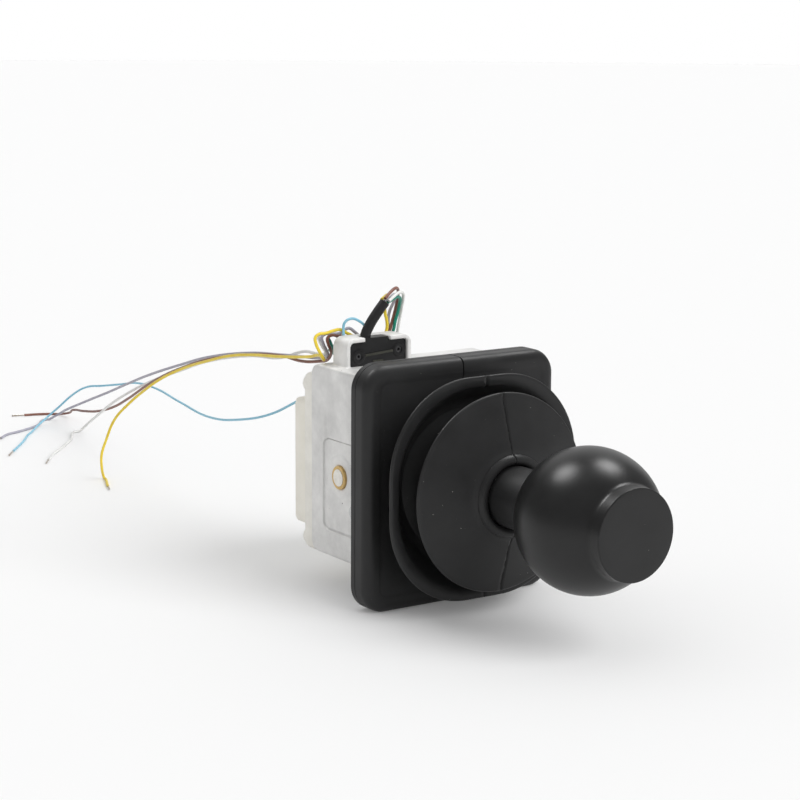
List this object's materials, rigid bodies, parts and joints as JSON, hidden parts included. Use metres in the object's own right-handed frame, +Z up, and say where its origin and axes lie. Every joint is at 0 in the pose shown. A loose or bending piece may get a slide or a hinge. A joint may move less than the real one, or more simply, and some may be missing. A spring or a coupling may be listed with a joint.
{
  "type": "industrial joystick",
  "caption": "Panel joystick: ball knob on a lever with a folded rubber boot over a two-axis gimbal in a die-cast box, with loose wires leaving through a clamp hood.",
  "frame": {"origin": "on the lever's axis, in the back face of the mounting flange, at the centre of the mounting holes", "axes": "-Y along the lever towards the knob, +Y into the panel, +Z up with the joystick lying on its side as on a bench, +X to the right seen from the knob"},
  "size_m": [0.1293, 0.5129, 0.1138],
  "materials": {
    "cast_alloy": "die-cast, matt, faintly mottled",
    "zinc_steel": "zinc plated",
    "boot_rubber": "moulded, satin, light dust",
    "bush_brass": "turned",
    "cover_alloy": "die-cast, matt, warm tone",
    "dark_screw": "blackened",
    "box_cream": "satin moulded",
    "board_green": "solder mask",
    "black_plastic": "moulded",
    "bar_grey": "moulded",
    "spring_steel": "bright wire",
    "sleeve_black": "shrunk tube, satin",
    "wire_yellow": "extruded insulation",
    "wire_brown": "extruded insulation",
    "wire_grey": "extruded insulation",
    "wire_white": "extruded insulation",
    "wire_green": "extruded insulation",
    "wire_blue": "extruded insulation",
    "tinned_copper": "tinned strands",
    "pin_steel": "ground",
    "magnet": "nickel plated",
    "sleeve_plastic": "moulded",
    "knob_plastic": "moulded, fine satin grain"
  },
  "bodies": {
    "housing": {"housing": "cast_alloy", "mounting_plate": "zinc_steel", "plate_screws": "zinc_steel", "boot_flange": "boot_rubber", "boot_outer_fold": "boot_rubber", "pivot_bushes": "bush_brass", "bail_bushes": "bush_brass", "rear_plate": "cover_alloy", "rear_plate_screws": "dark_screw", "rear_box": "box_cream", "circuit_board": "board_green", "board_parts": "black_plastic", "sensor_x_board": "board_green", "clamp_block": "black_plastic", "clamp_bar": "bar_grey", "clamp_screws": "dark_screw", "turret_cap": "black_plastic", "turret_screws": "zinc_steel", "sensor_z_board": "board_green", "side_screw": "zinc_steel", "spring_x": "spring_steel", "spring_z": "spring_steel", "wire_sleeve": "sleeve_black", "wire_yellow": "wire_yellow", "wire_brown": "wire_brown", "wire_grey": "wire_grey", "wire_white": "wire_white", "wire_green": "wire_green", "wire_blue": "wire_blue", "wire_tips": "tinned_copper"},
    "gimbal": {"spider": "zinc_steel", "pivot_pins": "pin_steel", "magnet_x": "magnet", "boot_inner_fold": "boot_rubber"},
    "lever": {"yoke": "cast_alloy", "cross_pin": "pin_steel", "lever_rod": "pin_steel", "lever_sleeve": "sleeve_plastic", "boot_collar": "boot_rubber", "knob_insert": "bush_brass", "knob": "knob_plastic"},
    "bail": {"bail": "zinc_steel", "magnet_z": "magnet"}
  },
  "joints": [
    {"name": "tilt_up_down", "type": "hinge", "parent": "housing", "child": "gimbal", "pos_m": [0, 0.0178, 0], "axis": [1, 0, 0], "range_deg": [-20, 20], "stiffness_Nm_per_rad": 1.2, "deforming": ["boot_outer_fold", "spring_x"]},
    {"name": "tilt_left_right", "type": "hinge", "parent": "gimbal", "child": "lever", "pos_m": [0, 0.0178, 0], "axis": [0, 0, 1], "range_deg": [-20, 20], "stiffness_Nm_per_rad": 0.6, "deforming": ["boot_inner_fold"]},
    {"name": "bail_turn", "type": "hinge", "parent": "housing", "child": "bail", "pos_m": [0, 0.0178, 0], "axis": [0, 0, 1], "range_deg": [-21, 21], "stiffness_Nm_per_rad": 0.6, "deforming": ["spring_z"]}
  ],
  "couplings": [
    {"joint": "bail_turn", "follows": "tilt_left_right", "ratio": 1}
  ]
}
